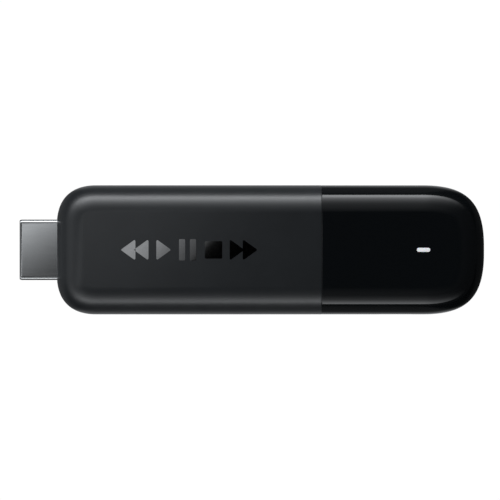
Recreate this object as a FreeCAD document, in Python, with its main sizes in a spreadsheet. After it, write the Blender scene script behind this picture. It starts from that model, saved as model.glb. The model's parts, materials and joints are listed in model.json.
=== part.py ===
import FreeCAD, Part
import os
import re

import Sketcher

# A streaming media stick: a two-shell matte case with a glossy tail cap, an HDMI plug at the nose (-X),
# a micro-USB power port in the cap's -Y side and a board with its shields and heat spreaders inside.
# Millimetres, +Z up. The origin is the middle of the whole object's footprint, on the surface it lies on.

V = FreeCAD.Vector
doc = FreeCAD.newDocument("StreamingStick")

DIMENSIONS = {
    # whole object
    "overall_length": 106.8,
    "plug_reach": 8.5,
    "body_width": 29.7,
    "body_height": 15.4,
    "edge_round": 6.4,
    "wall": 1.5,
    # outline corners: how far each reaches along both sides, and how full its curve is
    "nose_reach": 9.0,
    "nose_fullness": 0.646,
    "tail_reach": 14.0,
    "tail_fullness": 0.72,
    # joints between the three case pieces
    "seam_x": 16.0,
    "seam_gap": 0.08,
    "parting_gap": 0.1,
    "spigot_length": 4.0,
    "spigot_wall": 1.2,
    "spigot_root": 4.0,
    "slip": 0.1,
    "lip_inset": 0.8,
    "lip_height": 1.0,
    "bead_radius": 0.35,
    "bead_length": 5.0,
    "cap_bead_length": 8.0,
    "rib_sheet": 0.9,
    # HDMI plug, type A
    "plug_width": 13.9,
    "plug_height": 4.45,
    "plug_side": 2.65,
    "plug_foot": 10.4,
    "plug_sheet": 0.3,
    "plug_bend": 0.9,
    "plug_length": 13.8,
    "plug_fit": 0.12,
    "slot_width": 11.4,
    "slot_height": 2.0,
    "slot_depth": 7.1,
    "insulator_recess": 0.8,
    "insulator_length": 12.9,
    "tail_bend": 1.2,
    "contact_pitch": 1.0,
    "contact_width": 0.36,
    "contact_sheet": 0.25,
    # micro-USB socket, type B
    "port_x": 33.0,
    "port_z": 7.9,
    "port_mouth_y": 13.75,
    "port_width": 7.5,
    "port_height": 2.5,
    "port_side": 1.5,
    "port_foot": 5.6,
    "port_sheet": 0.25,
    "port_depth": 5.2,
    "port_hole_width": 8.5,
    "port_hole_height": 3.3,
    "port_hole_corner": 1.0,
    "channel_depth": 0.6,
    "port_pitch": 0.65,
    # board
    "board_start": 39.5,
    "board_end": 49.0,
    "board_width": 23.0,
    "board_thickness": 1.0,
    "board_corner": 8.0,
    "screw_front_x": 33.2,
    "screw_front_y": 9.0,
    "screw_mid_x": 10.9,
    "screw_mid_y": 9.9,
    "screw_shank": 0.75,
    "screw_head": 1.4,
    "screw_length": 4.2,
    "boss_radius": 1.7,
    # shields and heat spreaders
    "can_start": 26.0,
    "can_length": 34.0,
    "can_width": 16.8,
    "can_height": 1.9,
    "can_sheet": 0.2,
    "soft_pad": 1.0,
    "spreader_start": 30.0,
    "spreader_end": 30.0,
    "spreader_width": 16.4,
    "spreader_sheet": 0.9,
    "spreader_corner": 2.0,
    # status light
    "light_x": 39.36,
    "light_length": 3.04,
    "light_width": 0.91,
    "light_corner": 0.4,
    "light_flange": 0.6,
    # front mark
    "mark_start": 30.1,
    "mark_height": 4.9,
    "mark_foil": 0.04,
}

# Places used again and again, as expressions on the sheet's cells
NOSE_X = "(plug_reach - overall_length / 2)"
TIP_X = "(-overall_length / 2)"
TAIL_X = "(overall_length / 2)"
HALF_W = "(body_width / 2)"
MID_Z = "(body_height / 2)"
BOARD_TOP = "(body_height / 2 + board_thickness / 2)"
BOARD_UNDER = "(body_height / 2 - board_thickness / 2)"
SPIGOT_INSET = "(wall + slip)"
BORE_INSET = "(wall + slip + spigot_wall)"
CAN_INNER = "(can_height - can_sheet)"
UPPER_PLATE = f"({BOARD_TOP} + can_height + soft_pad)"
LOWER_PLATE = f"({BOARD_UNDER} - can_height - soft_pad)"
FAR = "80"

sheet = doc.addObject("Spreadsheet::Sheet", "Dims")
for row, (alias, value) in enumerate(DIMENSIONS.items(), 1):
    sheet.set(f"A{row}", alias)
    sheet.set(f"B{row}", str(value))
    sheet.setAlias(f"B{row}", alias)
doc.recompute()

nodes = []


def full(text):
    """The expression with each alias given its sheet's name."""
    return re.sub(r"[a-z_]+", lambda m: f"Dims.{m[0]}" if m[0] in DIMENSIONS else m[0], str(text))


def number(text):
    return float(sheet.evalExpression(full(text)))


def node(thing, label):
    """Marks an object as a finished sub-part, under the name its file gets."""
    thing.Label = label
    nodes.append(thing)
    return thing


# ---- building blocks -------------------------------------------------------------------------------


def block(name, x, y, z):
    """A box between two expressions along each axis."""
    box = doc.addObject("Part::Box", name)
    for size, axis, (low, high) in (("Length", "x", x), ("Width", "y", y), ("Height", "z", z)):
        box.setExpression(size, full(f"({high}) - ({low})"))
        box.setExpression(f"Placement.Base.{axis}", full(low))
    return box


def centred(name, x, y, z, length, width):
    """A box centred on x and y, between two heights."""
    return block(
        name,
        (f"({x}) - ({length}) / 2", f"({x}) + ({length}) / 2"),
        (f"({y}) - ({width}) / 2", f"({y}) + ({width}) / 2"),
        z,
    )


def rod(name, axis, start, radius, length):
    """A cylinder from a point, along the X, Y or Z axis."""
    turns = {"X": (V(0, 1, 0), 90), "Y": (V(1, 0, 0), -90), "Z": (V(0, 0, 1), 0)}
    body = doc.addObject("Part::Cylinder", name)
    body.Placement = FreeCAD.Placement(V(0, 0, 0), FreeCAD.Rotation(*turns[axis]))
    body.setExpression("Radius", full(radius))
    body.setExpression("Height", full(length))
    for key, text in zip("xyz", start):
        body.setExpression(f"Placement.Base.{key}", full(text))
    return body


def fuse(name, *parts):
    joined = doc.addObject("Part::MultiFuse", name)
    joined.Shapes = list(parts)
    joined.Refine = True
    return joined


def common(name, *parts):
    shared = doc.addObject("Part::MultiCommon", name)
    shared.Shapes = list(parts)
    return shared


def cut(name, base, *tools):
    result = doc.addObject("Part::Cut", name)
    result.Base = base
    result.Tool = tools[0] if len(tools) == 1 else fuse(name + "Tools", *tools)
    return result


def group(name, *parts):
    """Separate solids that share one node."""
    bundle = doc.addObject("Part::Compound", name)
    bundle.Links = list(parts)
    return bundle


def new_body(name):
    body = doc.addObject("PartDesign::Body", name)
    body.AllowCompound = True
    return body


def origin_feature(body, role):
    return next(f for f in body.Origin.OriginFeatures if f.Role == role)


def new_sketch(body, plane, offset):
    """A sketch on an origin plane, moved along the plane's normal by an expression."""
    sketch = body.newObject("Sketcher::SketchObject", body.Name + "Sketch")
    sketch.AttachmentSupport = [(origin_feature(body, plane + "_Plane"), "")]
    sketch.MapMode = "FlatFace"
    sketch.setExpression("AttachmentOffset.Base.z", full(offset))
    return sketch


def pin_point(sketch, geometry, position, u, v):
    """Holds a point of the sketch at two expressions."""
    for kind, text in (("DistanceX", u), ("DistanceY", v)):
        index = sketch.addConstraint(
            Sketcher.Constraint(kind, -1, 1, geometry, position, number(text))
        )
        sketch.setExpression(f"Constraints[{index}]", full(text))


def draw_loop(sketch, corners):
    """A closed outline of straight sides through corners, each a pair of expressions."""
    points = [V(number(u), number(v), 0) for u, v in corners]
    first = sketch.GeometryCount
    for here, there in zip(points, points[1:] + points[:1]):
        sketch.addGeometry(Part.LineSegment(here, there))
    for index, (u, v) in enumerate(corners):
        following = first + (index + 1) % len(corners)
        sketch.addConstraint(Sketcher.Constraint("Coincident", first + index, 2, following, 1))
        pin_point(sketch, first + index, 1, u, v)


def pad(body, sketch, length, reverse=False, middle=False):
    feature = body.newObject("PartDesign::Pad", body.Name + "Pad")
    feature.Profile = sketch
    feature.setExpression("Length", full(length))
    feature.Reversed = reverse
    feature.Midplane = middle
    body.Tip = feature
    doc.recompute()
    return feature


def profile(name, plane, offset, loops, length, reverse=False, middle=False):
    """A body padded from straight-sided loops, and its pad."""
    body = new_body(name)
    sketch = new_sketch(body, plane, offset)
    for loop in loops:
        draw_loop(sketch, loop)
    return body, pad(body, sketch, length, reverse, middle)


def round_edges(body, feature, wanted, radius, kind="Fillet"):
    """Fillets or chamfers the edges that wanted(edge) picks."""
    names = [f"Edge{i}" for i, edge in enumerate(feature.Shape.Edges, 1) if wanted(edge)]
    rounded = body.newObject("PartDesign::" + kind, body.Name + kind)
    rounded.Base = (feature, names)
    rounded.setExpression("Radius" if kind == "Fillet" else "Size", full(radius))
    body.Tip = rounded
    doc.recompute()
    return rounded


def runs_along(axis):
    """Picks straight edges parallel to an axis."""
    way = {"X": V(1, 0, 0), "Y": V(0, 1, 0), "Z": V(0, 0, 1)}[axis]

    def test(edge):
        ends = [vertex.Point for vertex in edge.Vertexes]
        return len(ends) == 2 and (ends[1] - ends[0]).cross(way).Length < 1e-6

    return test


def at_height(*heights):
    """Picks the edges that lie wholly at one of the heights."""

    def test(edge):
        box = edge.BoundBox
        return any(abs(box.ZMin - z) < 1e-4 and abs(box.ZMax - z) < 1e-4 for z in heights)

    return test


def in_row(body, feature, axis, count, pitch):
    pattern = body.newObject("PartDesign::LinearPattern", body.Name + "Row")
    pattern.Originals = [feature]
    pattern.Direction = (origin_feature(body, axis + "_Axis"), [""])
    pattern.Occurrences = count
    pattern.setExpression("Length", full(f"{count - 1} * {pitch}"))
    body.Tip = pattern
    return pattern


# ---- the case's outline ----------------------------------------------------------------------------


def corner_poles(end, side, reach, fullness, inset, x_way, y_way):
    """Four control points of one outline corner, from its long side to its end."""
    grown = f"({reach} - {inset})"
    handle = f"({grown} * (1 - {fullness}))"
    x_end = f"({end} - {x_way} * {inset})"
    y_side = f"({side} - {inset})"
    return [
        (f"{x_end} - {x_way} * {grown}", f"{y_way} * {y_side}"),
        (f"{x_end} - {x_way} * {handle}", f"{y_way} * {y_side}"),
        (x_end, f"{y_way} * ({y_side} - {handle})"),
        (x_end, f"{y_way} * ({y_side} - {grown})"),
    ]


def draw_outline(sketch, inset):
    """The stick seen from above: straight sides, a squarish nose and a rounder tail."""
    tail = ("tail_reach", "tail_fullness", inset, 1)
    nose = ("nose_reach", "nose_fullness", inset, -1)
    corners = [
        corner_poles(TAIL_X, HALF_W, *tail, 1)[::-1],
        corner_poles(NOSE_X, HALF_W, *nose, 1),
        corner_poles(NOSE_X, HALF_W, *nose, -1)[::-1],
        corner_poles(TAIL_X, HALF_W, *tail, -1),
    ]
    places = [[V(number(u), number(v), 0) for u, v in poles] for poles in corners]
    for here, there in zip(places, places[1:] + places[:1]):
        sketch.addGeometry(Part.BSplineCurve(here, None, None, False, 3, None, False))
        sketch.addGeometry(Part.LineSegment(here[-1], there[0]))
    for index in range(8):
        sketch.addConstraint(Sketcher.Constraint("Coincident", index, 2, (index + 1) % 8, 1))
    for index, poles in enumerate(corners):
        first = sketch.GeometryCount
        sketch.exposeInternalGeometry(2 * index)
        for step, (u, v) in enumerate(poles):
            pin_point(sketch, first + step, 3, u, v)


def outline_prism(name, inset, low, high):
    body = new_body(name)
    sketch = new_sketch(body, "XY", low)
    draw_outline(sketch, inset)
    pad(body, sketch, f"({high}) - ({low})")
    return body


def envelope(name, inset):
    """The case's outer form, or the same form a given depth inside it."""
    low, high = inset, f"body_height - {inset}"
    body = outline_prism(name, inset, low, high)
    rims = at_height(number(low), number(high))
    round_edges(body, body.Tip, rims, f"edge_round - {inset}")
    return body


outer_form = envelope("OuterForm", "0")
inner_form = envelope("InnerForm", "wall")
spigot_form = envelope("SpigotForm", SPIGOT_INSET)
bore_form = envelope("BoreForm", BORE_INSET)


# ---- case ------------------------------------------------------------------------------------------


def plug_loop(inset):
    """The HDMI plug's section, flat side up, a given depth inside its outer face."""
    bevel = f"({inset}) * tan(22.5)"
    top = f"{MID_Z} + plug_height / 2 - ({inset})"
    under = f"{MID_Z} - plug_height / 2 + ({inset})"
    shoulder = f"{MID_Z} + plug_height / 2 - plug_side + {bevel}"
    wide = f"(plug_width / 2 - ({inset}))"
    foot = f"(plug_foot / 2 - {bevel})"
    right = [(wide, top), (wide, shoulder), (foot, under)]
    return right + [(f"-{u}", v) for u, v in reversed(right)]


def plug_opening():
    body, feature = profile(
        "PlugOpening", "YZ", f"{NOSE_X} - 1", [plug_loop("-plug_fit")], "wall + 4.6"
    )
    round_edges(body, feature, runs_along("X"), "plug_bend")
    return body


def cover_cavity():
    """The space inside both covers: wide in front, narrower where they enter the cap."""
    front = block("CavityFront", (f"-{FAR}", "seam_x - spigot_root"), (f"-{FAR}", FAR), ("0", FAR))
    return fuse("CoverCavity", common("WideCavity", inner_form, front), bore_form)


def half_space(name, low, high):
    return block(name, (f"-{FAR}", FAR), (f"-{FAR}", FAR), (low, high))


def half_shell(name, low, high, cavity):
    """One cover's plain shell between two heights, with the spigot that enters the cap."""
    layer = half_space(name + "Layer", low, high)
    front = block(
        name + "Front", (f"-{FAR}", "seam_x - seam_gap / 2"), (f"-{FAR}", FAR), ("-1", FAR)
    )
    rear = block(
        name + "Rear", ("seam_x - 1", "seam_x + spigot_length"), (f"-{FAR}", FAR), ("-1", FAR)
    )
    shell = common(name + "Skin", outer_form, front)
    spigot = common(name + "Spigot", spigot_form, rear)
    whole = cut(name + "Shell", fuse(name + "Whole", shell, spigot), cavity)
    return common(name + "Half", whole, layer)


def side_beads(name, radius, inset):
    """Snap beads along both long sides, at mid height of the lip."""
    beads = []
    for number_along, x in enumerate(("-24", "-2")):
        for side in (1, -1):
            beads.append(
                rod(
                    f"{name}{number_along}{'L' if side > 0 else 'R'}",
                    "X",
                    (x, f"{side} * ({HALF_W} - ({inset}))", f"{MID_Z} + lip_height / 2"),
                    radius,
                    "bead_length",
                )
            )
    return beads


def cradle(name, low, high, opening):
    """A rib across the nose that holds the plug's shell behind the front wall."""
    rib = block(name + "Slab", (f"{NOSE_X} + 2.6", f"{NOSE_X} + 3.8"), ("-9.6", "9.6"), (low, high))
    inside = common(name + "Inside", rib, outer_form)
    return cut(name, inside, opening)


RIB_SPOTS = ("-28.6", "-12.4", "3.8")
SCREW_SPOTS = [
    ("-screw_front_x", "screw_front_y"),
    ("-screw_front_x", "-screw_front_y"),
    ("screw_mid_x", "screw_mid_y"),
    ("screw_mid_x", "-screw_mid_y"),
]


def spreader_ribs(word, low, high):
    """Ribs across a cover that stiffen it and end on the heat spreader, which they hold down."""
    ribs = []
    for index, x in enumerate(RIB_SPOTS):
        across = (f"-{HALF_W} + 3.5", f"{HALF_W} - 3.5")
        slab = block(f"{word}RibSlab{index}", (x, f"{x} + rib_sheet"), across, (low, high))
        ribs.append(common(f"{word}Rib{index}", outer_form, slab))
    return ribs


def cap_groove(name, z):
    return rod(
        name, "Y", ("seam_x + 2", "-cap_bead_length / 2 - 0.2", z), "bead_radius + slip",
        "cap_bead_length + 0.4",
    )


def upper_cover(cavity, opening):
    parting = f"{MID_Z} + parting_gap / 2"
    shell = half_shell("Upper", parting, FAR, cavity)
    rebate = outline_prism(
        "UpperRebate", "(lip_inset - slip / 2)", f"{MID_Z} - 1", f"{MID_Z} + lip_height + slip"
    )
    front = block("RebateFront", (f"-{FAR}", "seam_x - spigot_root + slip"), (f"-{FAR}", FAR), ("0", FAR))
    grooves = side_beads("UpperGroove", "bead_radius + slip", "lip_inset")
    hollow = cut(
        "UpperHollow",
        shell,
        common("RebateCut", rebate, front),
        opening,
        cap_groove("UpperCapGroove", "body_height - wall"),
        *grooves,
    )
    ribs = [cradle("UpperCradle", parting, "body_height - 0.5", opening)]
    for index, (x, y) in enumerate(SCREW_SPOTS):
        ribs.append(upper_post(index, x, y))
    ribs += spreader_ribs("Upper", f"{UPPER_PLATE} + spreader_sheet", "body_height - 0.5")
    return fuse("UpperCover", hollow, *ribs)


def upper_post(index, x, y):
    """A hollow post that presses the board down around a screw head."""
    low, high = f"{BOARD_TOP} + 0.05", "body_height - 0.6"
    post = rod(f"UpperPost{index}", "Z", (x, y, low), "boss_radius + 0.5", f"{high} - ({low})")
    kept = common(f"UpperPostKept{index}", post, outer_form)
    well = rod(f"UpperWell{index}", "Z", (x, y, "0"), "screw_head + 0.2", f"{BOARD_TOP} + 1.5")
    return cut(f"UpperPostHollow{index}", kept, well)


def lower_cover(cavity, opening):
    parting = f"{MID_Z} - parting_gap / 2"
    shell = half_shell("Lower", "-1", parting, cavity)
    lip_form = outline_prism("LipForm", "(lip_inset + slip / 2)", f"{MID_Z} - 1", f"{MID_Z} + lip_height")
    front = block("LipFront", (f"-{FAR}", "seam_x - spigot_root"), (f"-{FAR}", FAR), ("0", FAR))
    ring = cut("LipRing", common("LipFrontPart", lip_form, front), cavity)
    beads = side_beads("LowerBead", "bead_radius", "lip_inset + slip / 2")
    shell_with_lip = fuse("LowerWithLip", shell, ring, *beads)
    hollow = cut("LowerHollow", shell_with_lip, opening, cap_groove("LowerCapGroove", "wall"))
    bosses = [lower_boss(index, x, y) for index, (x, y) in enumerate(SCREW_SPOTS)]
    ribs = [cradle("LowerCradle", "0.5", parting, opening)]
    ribs += spreader_ribs("Lower", "0.5", f"{LOWER_PLATE} - spreader_sheet")
    return fuse("LowerCover", hollow, *ribs, *bosses)


def lower_boss(index, x, y):
    """A screw boss that carries the board."""
    boss = rod(f"LowerBoss{index}", "Z", (x, y, "0.6"), "boss_radius", f"{BOARD_UNDER} - 0.6")
    kept = common(f"LowerBossKept{index}", boss, outer_form)
    top = f"{BOARD_UNDER} - screw_length"
    pilot = rod(f"LowerPilot{index}", "Z", (x, y, top), "screw_shank + 0.05", "screw_length + 1")
    return cut(f"LowerBossBored{index}", kept, pilot)


def port_loop(inset):
    """The micro-USB socket's section, wide side up, a given depth inside its outer face."""
    bevel = f"({inset}) * tan(22.5)"
    top = f"port_z + port_height / 2 - ({inset})"
    under = f"port_z - port_height / 2 + ({inset})"
    shoulder = f"port_z + port_height / 2 - port_side + {bevel}"
    wide = f"(port_width / 2 - ({inset}))"
    foot = f"(port_foot / 2 - {bevel})"
    right = [(wide, top), (wide, shoulder), (foot, under)]
    loop = right + [(f"-{u}", v) for u, v in reversed(right)]
    return [(f"port_x + {u}", v) for u, v in loop]


def port_hole():
    """The opening in the cap's side, with rounded corners."""
    half, rise = "port_hole_width / 2", "port_hole_height / 2"
    loop = [
        (f"port_x - {half}", f"port_z - {rise}"),
        (f"port_x + {half}", f"port_z - {rise}"),
        (f"port_x + {half}", f"port_z + {rise}"),
        (f"port_x - {half}", f"port_z + {rise}"),
    ]
    body, feature = profile("PortHole", "XZ", f"{HALF_W} - wall - 1", [loop], "6")
    round_edges(body, feature, runs_along("Y"), "port_hole_corner")
    return body


def pill(name, low, high, grow):
    """The status light's rounded bar, between two heights, grown all round."""
    body, feature = profile(
        name,
        "XY",
        low,
        [
            [
                (f"light_x + {u} * (light_length / 2 + {grow})", f"{v} * (light_width / 2 + {grow})")
                for u, v in ((-1, -1), (1, -1), (1, 1), (-1, 1))
            ]
        ],
        f"({high}) - ({low})",
    )
    round_edges(body, feature, runs_along("Z"), f"light_corner + {grow}")
    return body


def tail_cap():
    rear = block("CapRear", ("seam_x + seam_gap / 2", FAR), (f"-{FAR}", FAR), ("-1", FAR))
    shell = cut("CapShell", common("CapSkin", outer_form, rear), inner_form)
    channel = block(
        "PortChannel",
        ("seam_x - 1", "port_x + port_width / 2 + 0.8"),
        (f"-({HALF_W} - wall + channel_depth)", f"-({HALF_W} - wall - 1)"),
        ("port_z - port_height / 2 - 0.35", "port_z + port_height / 2 + 0.35"),
    )
    hollow = cut(
        "CapHollow", shell, channel, port_hole(), pill("LightSlot", "body_height - wall - 1", FAR, "0.05")
    )
    ribs = []
    for index, side in enumerate((1, -1)):
        for level, (low, high) in enumerate(
            (("0.5", f"{BOARD_UNDER} - 0.05"), (f"{BOARD_TOP} + 0.05", "body_height - 0.5"))
        ):
            slab = centred(
                f"CapRibSlab{index}{level}", f"{TAIL_X} - 4", f"{side} * 4.2", (low, high), "6.4", "1.1"
            )
            ribs.append(common(f"CapRib{index}{level}", slab, outer_form))
    for label, z in (("Top", "body_height - wall"), ("Under", "wall")):
        start = ("seam_x + 2", "-cap_bead_length / 2", z)
        ribs.append(rod(f"CapBead{label}", "Y", start, "bead_radius", "cap_bead_length"))
    return fuse("TailCap", hollow, *ribs)


cavity = cover_cavity()
opening = plug_opening()
node(upper_cover(cavity, opening), "upper_cover")
node(lower_cover(cavity, opening), "lower_cover")
node(tail_cap(), "tail_cap")


# ---- status light ----------------------------------------------------------------------------------


def light_guide():
    """The diffuser: a bar flush with the cap, a flange under its wall and a stem towards the LED."""
    bar = pill("GuideBar", "body_height - wall - 0.2", "body_height", "0")
    ceiling = "body_height - wall"
    flange = centred("GuideFlange", "light_x", "0", (f"{ceiling} - light_flange", ceiling), "4.6", "2.4")
    stem = centred("GuideStem", "light_x", "0", (f"{BOARD_TOP} + 1", f"{ceiling} - 0.1"), "2.4", "0.9")
    return fuse("LightGuide", bar, flange, stem)


def light_shroud():
    """A dark sleeve round the stem that keeps the light off the rest of the cap."""
    span = (f"{BOARD_TOP} + 1.1", "body_height - wall - light_flange")
    sleeve = centred("ShroudBlock", "light_x", "0", span, "5", "3.4")
    hole = centred("ShroudHole", "light_x", "0", (f"{BOARD_TOP}", FAR), "2.5", "1")
    return cut("LightShroud", sleeve, hole)


def status_led():
    base = centred("LedBase", "light_x", "0", (BOARD_TOP, f"{BOARD_TOP} + 0.35"), "1.9", "1.2")
    lens = centred("LedLens", "light_x", "0", (f"{BOARD_TOP} + 0.35", f"{BOARD_TOP} + 0.75"), "1.4", "1.1")
    return base, lens


node(light_guide(), "status_light_guide")
node(light_shroud(), "light_shroud")
led_base, led_lens = status_led()
node(led_base, "status_led_base")
node(led_lens, "status_led_lens")


# ---- HDMI plug -------------------------------------------------------------------------------------


def plug_edges(inset):
    """Picks the long edges of the plug shell's outside, or of the surface a given depth inside it."""
    half_width, half_height = number(f"plug_width / 2 - {inset}"), number(f"plug_height / 2 - {inset}")

    def test(edge):
        middle = edge.BoundBox.Center
        wide = abs(abs(middle.y) - half_width) < 1e-4
        tall = abs(abs(middle.z - number(MID_Z)) - half_height) < 1e-4
        return runs_along("X")(edge) and (wide or tall)

    return test


def plug_shell():
    """Folded sheet: a tube with a wide flat top and bevelled lower corners."""
    body, feature = profile(
        "PlugShell", "YZ", TIP_X, [plug_loop("0"), plug_loop("plug_sheet")], "plug_length"
    )
    outside = round_edges(body, feature, plug_edges("0"), "plug_bend")
    bent = round_edges(body, outside, plug_edges("plug_sheet"), "plug_bend - plug_sheet")
    tip_face = next(face for face in bent.Shape.Faces if abs(face.BoundBox.XMax - number(TIP_X)) < 1e-4)
    rim = tip_face.OuterWire.Edges

    def is_tip_rim(edge):
        return any(edge.isSame(other) for other in rim)

    round_edges(body, bent, is_tip_rim, "plug_sheet * 0.5", "Chamfer")
    seam = block(
        "PlugSeam", (f"{TIP_X} - 1", f"{TIP_X} + plug_length + 1"), ("-0.04", "0.04"),
        (f"{MID_Z} - plug_height / 2 - 1", f"{MID_Z} - plug_height / 2 + 0.15"),
    )
    return cut("PlugShellSeamed", body, seam)


def contact_row(name, side, count, width, grow):
    """Spring contacts, or the channels they lie in: straight beams whose tails clip the board's edge."""
    front, back = f"{TIP_X} + insulator_recess + 0.6", "-board_start + tail_bend"
    face, step = "(slot_height / 2 - 0.15)", "(board_thickness / 2)"
    bend = "-board_start - tail_bend"
    heights = [
        (f"{front} - {grow}", f"{face} - {grow}"),
        (f"{front} - {grow}", f"{face} + contact_sheet + {grow}"),
        (f"{bend} + 0.1", f"{face} + contact_sheet + {grow}"),
        (f"{bend} + 0.7", f"{step} + contact_sheet + {grow}"),
        (f"{back} + {grow}", f"{step} + contact_sheet + {grow}"),
        (f"{back} + {grow}", step),
        (f"{bend} + 0.6", step),
        (bend, f"{face} - {grow}"),
    ]
    loop = [(x, f"{MID_Z} + {side} * ({z})") for x, z in heights]
    body, feature = profile(
        name, "XZ", f"{count - 1} * contact_pitch / 2", [loop], width, middle=True
    )
    in_row(body, feature, "Y", count, "contact_pitch")
    return body


def plug_insulator():
    """Moulded block inside the shell, with the mating slot and a channel for each contact."""
    start = f"{TIP_X} + insulator_recess"
    body, feature = profile(
        "InsulatorBlock", "YZ", start, [plug_loop("plug_sheet + 0.05")], "insulator_length"
    )
    round_edges(body, feature, runs_along("X"), "plug_bend - plug_sheet - 0.05")
    slot = block(
        "MatingSlot", (f"{start} - 1", f"{start} + slot_depth"), ("-slot_width / 2", "slot_width / 2"),
        (f"{MID_Z} - slot_height / 2", f"{MID_Z} + slot_height / 2"),
    )
    upper = contact_row("UpperChannels", 1, 10, "contact_width + 0.1", "0.05")
    lower = contact_row("LowerChannels", -1, 9, "contact_width + 0.1", "0.05")
    slotted = cut("InsulatorSlotted", body, slot)
    channelled = cut("InsulatorUpperCut", slotted, upper)
    return cut("PlugInsulator", channelled, lower)


def plug_ears():
    """Two solder ears that carry the plug's load into the board, beside its shell."""
    ears = []
    for index, side in enumerate((1, -1)):
        middle = f"{side} * (plug_width / 2 + 0.15)"
        strap = block(
            f"EarStrap{index}",
            (f"{TIP_X} + plug_length - 1.2", f"{TIP_X} + plug_length + 0.8"),
            (f"{middle} - 0.15", f"{middle} + 0.15"),
            (f"{BOARD_TOP} + 0.02", f"{BOARD_TOP} + 1.4"),
        )
        foot = block(
            f"EarFoot{index}",
            (f"{TIP_X} + plug_length + 0.2", f"{TIP_X} + plug_length + 3.2"),
            (f"{side} * (plug_width / 2 + 0.9) - 0.9", f"{side} * (plug_width / 2 + 0.9) + 0.9"),
            (BOARD_TOP, f"{BOARD_TOP} + 0.3"),
        )
        ears.append(fuse(f"PlugEar{index}", strap, foot))
    return group("PlugEars", *ears)


node(plug_shell(), "hdmi_plug_shell")
node(plug_insulator(), "hdmi_insulator")
node(contact_row("UpperContacts", 1, 10, "contact_width", "0"), "hdmi_contacts_upper")
node(contact_row("LowerContacts", -1, 9, "contact_width", "0"), "hdmi_contacts_lower")
node(plug_ears(), "hdmi_solder_ears")


# ---- micro-USB socket ------------------------------------------------------------------------------


def port_shell():
    body, feature = profile(
        "PortShell", "XZ", "port_mouth_y", [port_loop("0"), port_loop("port_sheet")], "port_depth",
        reverse=True,
    )
    round_edges(body, feature, runs_along("Y"), "0.12")
    wings = []
    for index, side in enumerate((1, -1)):
        wings.append(
            block(
                f"PortWing{index}",
                (
                    f"port_x + {side} * (port_width / 2 + 0.6) - 0.75",
                    f"port_x + {side} * (port_width / 2 + 0.6) + 0.75",
                ),
                ("-port_mouth_y + port_depth - 2.4", "-port_mouth_y + port_depth - 0.4"),
                (BOARD_TOP, f"{BOARD_TOP} + port_sheet"),
            )
        )
    bore, _ = profile(
        "PortBore", "XZ", "port_mouth_y + 1", [port_loop("port_sheet")], "port_depth + 3", reverse=True
    )
    return cut("PortShellWinged", fuse("PortShellJoined", body, *wings), bore)


def port_tongue():
    """The socket's plastic: a back block with a thin tongue reaching to the mouth."""
    mouth = "-port_mouth_y"
    back, _ = profile(
        "PortBack", "XZ", "port_mouth_y - port_depth + 1.2", [port_loop("port_sheet + 0.03")], "1.2",
        reverse=True,
    )
    tongue = block(
        "PortTongue", ("port_x - 1.85", "port_x + 1.85"), (f"{mouth} + 0.6", f"{mouth} + port_depth - 0.6"),
        ("port_z + 0.05", "port_z + 0.6"),
    )
    joined = fuse("PortPlastic", back, tongue)
    return cut("PortInsulator", joined, port_contacts("PortChannels", "0.34", "0.03"))


def port_contacts(name, width, grow):
    """Five flat contacts under the tongue, stepped up at the back onto the board."""
    mouth, back = "-port_mouth_y", "-port_mouth_y + port_depth"
    body = new_body(name)
    sketch = new_sketch(body, "YZ", "port_x - 2 * port_pitch")
    draw_loop(
        sketch,
        [
            (f"{mouth} + 0.8 - {grow}", f"port_z + 0.05 - {grow}"),
            (f"{back} + 0.2", f"port_z + 0.05 - {grow}"),
            (f"{back} + 0.2", BOARD_TOP),
            (f"{back} + 1", BOARD_TOP),
            (f"{back} + 1", f"{BOARD_TOP} + 0.15"),
            (f"{back} + 0.05", f"{BOARD_TOP} + 0.15"),
            (f"{back} + 0.05", f"port_z + 0.2 + {grow}"),
            (f"{mouth} + 0.8 - {grow}", f"port_z + 0.2 + {grow}"),
        ],
    )
    feature = pad(body, sketch, width, middle=True)
    in_row(body, feature, "X", 5, "port_pitch")
    return body


node(port_shell(), "usb_port_shell")
node(port_tongue(), "usb_port_insulator")
node(port_contacts("PortContacts", "0.28", "0"), "usb_port_contacts")


# ---- board and what is soldered to it --------------------------------------------------------------


def main_board():
    half = "board_width / 2"
    loop = [
        ("-board_start", f"-{half}"),
        ("board_end", f"-{half}"),
        ("board_end", half),
        ("-board_start", half),
    ]
    body, feature = profile("BoardPlate", "XY", BOARD_UNDER, [loop], "board_thickness")
    tail = number("board_end")

    def is_tail_corner(edge):
        return runs_along("Z")(edge) and abs(edge.Vertexes[0].Point.x - tail) < 1e-6

    round_edges(body, feature, is_tail_corner, "board_corner")
    notch = block(
        "PortNotch",
        ("port_x - port_width / 2 - 0.15", "port_x + port_width / 2 + 0.15"),
        (f"-{half} - 1", "-port_mouth_y + port_depth + 0.3"),
        ("0", FAR),
    )
    holes = [
        rod(f"BoardHole{index}", "Z", (x, y, "0"), "screw_shank + 0.15", "body_height")
        for index, (x, y) in enumerate(SCREW_SPOTS)
    ]
    return cut("MainBoard", body, notch, *holes)


def board_screw(index, x, y):
    """A pan-head screw: shank, pointed tip, head and a cross recess."""
    head = rod(f"ScrewHead{index}", "Z", (x, y, BOARD_TOP), "screw_head", "0.8")
    start = (x, y, f"{BOARD_TOP} - screw_length")
    shank = rod(f"ScrewShank{index}", "Z", start, "screw_shank", "screw_length")
    cross = [
        centred(f"ScrewSlot{index}{i}", x, y, (f"{BOARD_TOP} + 0.35", f"{BOARD_TOP} + 2"), length, width)
        for i, (length, width) in enumerate((("1.5", "0.34"), ("0.34", "1.5")))
    ]
    return cut(f"Screw{index}", fuse(f"ScrewBlank{index}", head, shank), *cross)


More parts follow.
